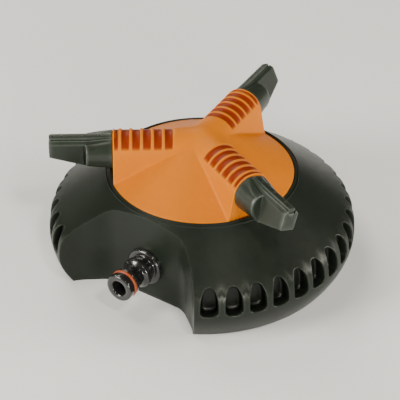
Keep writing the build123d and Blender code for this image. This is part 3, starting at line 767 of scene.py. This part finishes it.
nozzleLook = {
    "setAngles": {"a": 10.0, "b": 15.0, "c": 24.0},   # how far each row of jets is tipped, degrees
    "neckRadius": 9.0,
    "neckRounding": 0.4,
    "socketStart": 44.0,
    "socketRadius": 5.56,
    "socketEnd": 58.6,
    "mouth": 51.7,                  # where the barrel starts, outside the sleeve
    "barrelRadius": 11.1,
    "barrelTaper": 1.3,             # how much smaller the barrel's radius gets towards its end
    "taperLength": 14.5,
    "barrelEnd": 66.2,
    "shoulderFall": 4.5,            # how steeply the barrel's end falls away beside the crest
    # down the step into a shallow hollow and over the cheek's rounded back edge: distance along, share of the
    # barrel's shape
    "step": ((0, 1), (0.2, 0.98), (0.38, 0.93), (0.5, 0.85), (0.58, 0.7), (0.68, 0.45), (0.8, 0.2),
             (0.95, 0.02), (1.15, -0.1), (1.4, -0.15), (1.6, -0.16), (1.72, -0.148), (1.85, -0.103),
             (2.0, -0.07), (2.2, -0.039), (2.4, -0.019), (2.6, -0.007), (2.9, 0)),
    "tip": 88.0,
    "halfWidth": 4.6,
    "upper": 9.0,                   # crest beside the strip's channel
    "crestPower": 1.3,
    "cheekTop": (7.4, 7.1),         # upper edge of the flat sides, at the step and at the tip
    "lower": (-9.9, -3.0),          # lower edge, at the step and at the tip
    "channelHalf": 2.55,
    "channelFloor": 7.4,
    "tipRounding": 0.5,
    "footRadius": 1.3,              # rounding of the paddle's lower edges
    "edgeRounding": 0.35,
    "sharpAngle": 50,
}
stripLook = {
    "halfWidth": 2.05,
    "start": 52.3,
    "end": 87.2,
    "base": 6.9,
    "top": ((52.3, 10.9), (56.0, 10.7), (64.0, 10.5), (87.2, 10.3)),   # height along the arm
    "crown": 0.12,
    "jets": (59.0, 69.8, 80.6, 85.6),
    "jetRadius": 0.55,
    "jetDepth": 1.6,
    "edgeRounding": 0.25,
    "sharpAngle": 50,
}


def armPoints(arm, tip, along, across, up):
    # from a nozzle's own directions to the object's; tip turns the nozzle about its arm
    side = across * math.cos(tip) + up * math.sin(tip)
    high = up * math.cos(tip) - across * math.sin(tip)
    x = along * math.cos(arm) - side * math.sin(arm)
    y = along * math.sin(arm) + side * math.cos(arm)
    return np.stack([x, y, high + coverLook["armHeight"]], -1)


def nozzleSections():
    # a half outline for each row: shape = paddle + (barrel - paddle) * share, where the share goes from 1 to
    # 0 over the step; returns the distance along, across and up of every point
    look = nozzleLook
    radius, half = look["barrelRadius"], look["halfWidth"]
    foot, edge = look["footRadius"], look["tipRounding"]
    # columns: channel floor, channel side and crest, then round the side to the bottom
    channel = look["channelHalf"]
    crestAcross = np.array([0, 1.2, 2.3, channel, channel + 0.06, 2.9, 3.3, 3.7, 4.0, half])
    inChannel = np.arange(len(crestAcross)) < 4
    cheekColumns, footColumns, underColumns = 24, 7, 9
    angles = np.linspace(math.asin(half / radius), math.pi, cheekColumns + footColumns + underColumns + 1)[1:]
    # rows: along the barrel, down the step, along the paddle, round the tip
    step = np.array(look["step"])
    barrel = np.linspace(look["mouth"], look["barrelEnd"], 12)[:-1]
    start = look["barrelEnd"] + step[-1, 0]
    paddle = np.linspace(start, look["tip"] - edge, 9)[1:]
    rounding = look["tip"] - edge + edge * np.sin(np.radians(np.linspace(0, 90, 6)))[1:]
    rows = np.concatenate([barrel, look["barrelEnd"] + step[:, 0], paddle, rounding])[:, None]
    share = np.concatenate([np.ones(len(barrel)), step[:, 1], np.zeros(len(paddle) + len(rounding))])[:, None]
    past = np.clip((rows - look["barrelEnd"]) / (look["tip"] - look["barrelEnd"]), 0, 1)
    cheekTop = look["cheekTop"][0] + (look["cheekTop"][1] - look["cheekTop"][0]) * past
    lower = look["lower"][0] + (look["lower"][1] - look["lower"][0]) * past
    crestFall = np.clip((crestAcross - channel) / (half - channel), 0, 1) ** look["crestPower"]
    drop = smooth(rows, look["mouth"] - 3.0, look["barrelEnd"] + 1.0)
    barrelTop = np.sqrt(radius**2 - crestAcross**2)
    crestTop = look["upper"] + (cheekTop - look["upper"]) * crestFall
    crestUp = np.where(inChannel, look["channelFloor"], barrelTop + (crestTop - barrelTop) * drop)
    # paddle: straight cheek, rounded foot, flat underside
    turn = np.radians(np.linspace(0, 90, footColumns + 1))[1:]
    cheekUp = cheekTop + (lower + foot - cheekTop) * np.linspace(0, 1, cheekColumns + 1)[1:]
    flatUp = np.hstack([cheekUp, lower + foot - foot * np.sin(turn), lower + np.zeros(underColumns)])
    flatAcross = np.concatenate([np.full(cheekColumns, half), half - foot + foot * np.cos(turn),
                                 np.linspace(half - foot, 0, underColumns + 1)[1:]])
    # barrel: a tapering round, sunk towards the crest where the crest drops
    taper = 1 - look["barrelTaper"] / radius * np.clip((rows - look["mouth"]) / look["taperLength"], 0, 1)
    roundAcross, roundUp = radius * np.sin(angles) * taper, radius * np.cos(angles) * taper
    sunkUp = np.minimum(roundUp, crestUp[:, -1:] - (angles - angles[0]) * look["shoulderFall"])
    across = np.hstack([crestAcross + 0 * crestUp, flatAcross + (roundAcross - flatAcross) * share])
    up = np.hstack([crestUp, flatUp + (sunkUp - flatUp) * share])
    # the tip's rounded edge draws the outline in
    inward = edge - np.sqrt(np.clip(edge**2 - np.maximum(rows - (look["tip"] - edge), 0) ** 2, 0, None))
    middle = (look["upper"] + look["lower"][1]) / 2
    return rows + 0 * up, across * (1 - inward / half), middle + (up - middle) * (1 - inward / 6)


def makeNozzle(name, arm, tip):
    # whole outline from the half one, closed at the tip, with the neck and the socket for the arm tube behind
    look = nozzleLook
    along, across, up = nozzleSections()
    along, up = (np.hstack([a, a[:, -2:0:-1]]) for a in (along, up))
    across = np.hstack([across, -across[:, -2:0:-1]])
    turn = np.arctan2(across[:1], up[:1])
    neck, rounding = look["neckRadius"], look["neckRounding"]
    rings = [(place + 0 * turn, radius * np.sin(turn), radius * np.cos(turn)) for place, radius in (
        (look["socketEnd"], 0.0), (look["socketEnd"], look["socketRadius"]),
        (look["socketStart"], look["socketRadius"]), (look["socketStart"], neck - rounding),
        (look["socketStart"] + rounding, neck), (look["mouth"], neck),
    )]
    middle = (look["upper"] + look["lower"][1]) / 2
    tipRings = [(along[-1:], across[-1:] * k, middle + (up[-1:] - middle) * k) for k in (0.5, 0.0)]
    along, across, up = (
        np.vstack([ring[k] for ring in rings] + [whole] + [ring[k] for ring in tipRings])
        for k, whole in enumerate((along, across, up))
    )
    points = armPoints(arm, tip, along, across, up)
    patches = [(points, gridFaces(*along.shape, closed=True))]
    return makePiece(f"nozzle_{name}_body", patches, f"nozzle_{name}", [f"nozzle_{name}"], "nozzle_plastic",
                     sharpAngle=look["sharpAngle"], bevel=look["edgeRounding"])


def makeJetStrip(name, arm, tip):
    # a long bar that slopes along the nozzle, its top crowned by crown (across / half)^2; each jet is a small
    # round well in the top
    look = stripLook
    half, base = look["halfWidth"], look["base"]
    near = np.linspace(-1.2, 1.2, 25)                 # close rows and columns over a jet, in its radii
    places = [np.linspace(look["start"], look["end"], 40)]
    places += [jet + near * look["jetRadius"] for jet in look["jets"]]
    along = np.unique(np.round(np.concatenate(places), 4))[:, None]
    beside = [-half, -1.7, -1.25, -0.95, 0.95, 1.25, 1.7, half]
    across = np.unique(np.round(np.concatenate([near * look["jetRadius"], beside]), 4))[None, :]
    top = np.interp(along, *np.array(look["top"]).T) - look["crown"] * (across / half) ** 2
    for jet in look["jets"]:
        away = np.hypot(along - jet, across) / look["jetRadius"]
        top = top - look["jetDepth"] * (1 - smooth(away, 0.75, 1.1))
    up = np.pad(top, 1, constant_values=base)
    along = np.vstack([along[:1], along, along[-1:]]) + 0 * up
    wide = np.hstack([[[-half]], across, [[half]]]) + 0 * up
    upper = armPoints(arm, tip, along, wide, up)
    edge = np.array([(place, side) for place in (along[0, 0], along[-1, 0]) for side in (-half, half)])
    under = armPoints(arm, tip, edge[:, 0], edge[:, 1], np.full(4, base))
    patches = [(upper, gridFaces(*up.shape)), (under, [[0, 1, 3, 2]])]
    return makePiece(f"jet_strip_{name}_bar", patches, f"nozzle_{name}", [f"jet_strip_{name}"],
                     "nozzle_plastic", sharpAngle=look["sharpAngle"], bevel=look["edgeRounding"])


for arm, (name, angle) in zip(arms, nozzleLook["setAngles"].items()):
    makeNozzle(name, arm, math.radians(angle))
    makeJetStrip(name, arm, math.radians(angle))
print("nozzles made:", len(arms))


plugLook = {
    "height": 21.2,
    "ringRadius": 8.5,
    "ringPlace": 77.2,
    "ringThick": 1.15,
    # (distance from the axis, radius) along the plug's outside, from behind the wall to the tip and its bore
    "turned": ((54.0, 7.4), (56.6, 7.4), (56.6, 11.2), (58.8, 11.2), (59.4, 10.6), (59.4, 8.2), (60.0, 7.7),
               (62.0, 7.7), (62.7, 8.5), (63.2, 9.0), (66.2, 9.0), (66.8, 8.6), (67.4, 7.0), (68.2, 6.6),
               (72.2, 6.6), (73.0, 7.0), (73.5, 7.7), (73.9, 8.0), (75.7, 8.0), (76.0, 7.8), (76.0, 6.3),
               (78.4, 6.3), (78.4, 8.0), (78.6, 8.2), (82.3, 8.2), (82.8, 8.0), (83.0, 7.5), (83.0, 5.2),
               (82.6, 4.7), (82.0, 4.5), (60.0, 4.5), (60.0, 0.0)),
    "edgeRounding": 0.15,
    "sharpAngle": 50,
}
roundPlug = np.linspace(0, 2 * np.pi, 97)[:-1]        # angles round the plug's axis


def plugPoints(along, radius):
    # rings round the plug's axis: x = r sin a, z = height + r cos a
    return np.stack([radius * np.sin(roundPlug), -along + 0 * roundPlug,
                     plugLook["height"] + radius * np.cos(roundPlug)], -1)


def makePlug():
    # the plug's profile turned round its own axis, closed behind
    look = plugLook
    profile = np.array(look["turned"])
    profile = np.vstack([(profile[0, 0], 0.0), profile])
    points = plugPoints(profile[:, :1], profile[:, 1:])
    patches = [(points, gridFaces(*points.shape[:2], closed=True))]
    return makePiece("inletPlugBody", patches, "base", ["inlet_plug"], "plug_plastic",
                     sharpAngle=look["sharpAngle"], bevel=look["edgeRounding"])


def makePlugRing():
    # a torus in the plug's groove: radius = ringRadius - thick + thick cos s, along = place + thick sin s
    look = plugLook
    section = np.linspace(0, 2 * np.pi, 25)[:-1][:, None]
    radius = look["ringRadius"] - look["ringThick"] + look["ringThick"] * np.cos(section)
    points = plugPoints(look["ringPlace"] + look["ringThick"] * np.sin(section), radius)
    points = np.concatenate([points, points[:1]])
    patches = [(points, gridFaces(*points.shape[:2], closed=True))]
    return makePiece("inletPlugRing", patches, "base", ["inlet_ring"], "ring_rubber")


makePlug()
makePlugRing()
print("inlet plug made")


viewLook = {
    "azimuth": 34.0,                # degrees round the object, 0 looks along +Y
    "elevation": 35.48,
    "distance": 1.0064,
    "aim": (-0.0028, 0.0018, 0.0313),
    "lens": 153.7,
    "roll": 0.48,
}
studioLook = {
    "floorColour": (0.88, 0.90, 0.94),
    "floorHeight": -0.0002,
    "floorHalf": 4.0,
    "worldColour": (1.0, 0.97, 0.88, 1),
    "world": 0.085,
    "lampColour": (1.0, 0.955, 0.83),
    "lampAim": (0, 0, 0.04),
    "lamps": (                      # name, azimuth, elevation, distance, size, power
        ("leftLamp", -32.0, 20.0, 1.2, 0.5, 17.0),
        ("frontLamp", 52.0, 11.0, 1.3, 0.26, 11.0),
        ("glintLamp", 58.0, 52.0, 1.3, 0.16, 4.0),
        ("rightLamp", 122.0, 18.0, 1.2, 0.6, 12.0),
        ("backLamp", 240.0, 34.0, 1.3, 0.8, 9.0),
        ("topLamp", 300.0, 65.0, 1.4, 0.5, 4.0),
    ),
}


def addToScene(name, data):
    obj = bpy.data.objects.new(name, data)
    bpy.context.scene.collection.objects.link(obj)
    return obj


def lookFrom(obj, azimuth, elevation, distance, target, roll=0.0):
    # stands a lamp or camera at a distance from its target, seen from an azimuth and elevation, facing it
    a, e = math.radians(azimuth), math.radians(elevation)
    away = Vector((math.sin(a) * math.cos(e), -math.cos(a) * math.cos(e), math.sin(e)))
    obj.location = Vector(target) + away * distance
    obj.rotation_mode = "QUATERNION"
    turn = Quaternion(Vector((0, 0, 1)), math.radians(roll))
    obj.rotation_quaternion = (-away).to_track_quat("-Z", "Y") @ turn


def makeCamera():
    look = viewLook
    data = bpy.data.cameras.new("viewCamera")
    data.lens = look["lens"]
    data.sensor_width = 36
    data.clip_start = 0.05
    data.clip_end = 20
    camera = addToScene("viewCamera", data)
    lookFrom(camera, look["azimuth"], look["elevation"], look["distance"], look["aim"], look["roll"])
    bpy.context.scene.camera = camera


def makeStudio():
    look = studioLook
    world = bpy.data.worlds.new("studioWorld")
    world.use_nodes = True
    background = world.node_tree.nodes["Background"]
    background.inputs["Color"].default_value = look["worldColour"]
    background.inputs["Strength"].default_value = look["world"]
    bpy.context.scene.world = world
    for name, azimuth, elevation, distance, size, power in look["lamps"]:
        data = bpy.data.lights.new(name, "AREA")
        data.shape = "DISK"
        data.size = size
        data.energy = power
        data.color = look["lampColour"]
        lookFrom(addToScene(name, data), azimuth, elevation, distance, look["lampAim"])
    mesh = bpy.data.meshes.new("studioFloor")
    half = look["floorHalf"]
    corners = [(x * half, y * half, look["floorHeight"]) for x, y in ((-1, -1), (1, -1), (1, 1), (-1, 1))]
    mesh.from_pydata(corners, [], [(0, 1, 2, 3)])
    paper, _ = newMaterial("floorPaper", {
        "Base Color": (*look["floorColour"], 1), "Roughness": 0.9, "Specular IOR Level": 0.1})
    mesh.materials.append(paper)
    floor = addToScene("studioFloor", mesh)


makeCamera()
makeStudio()
print("camera, floor and lamps made")
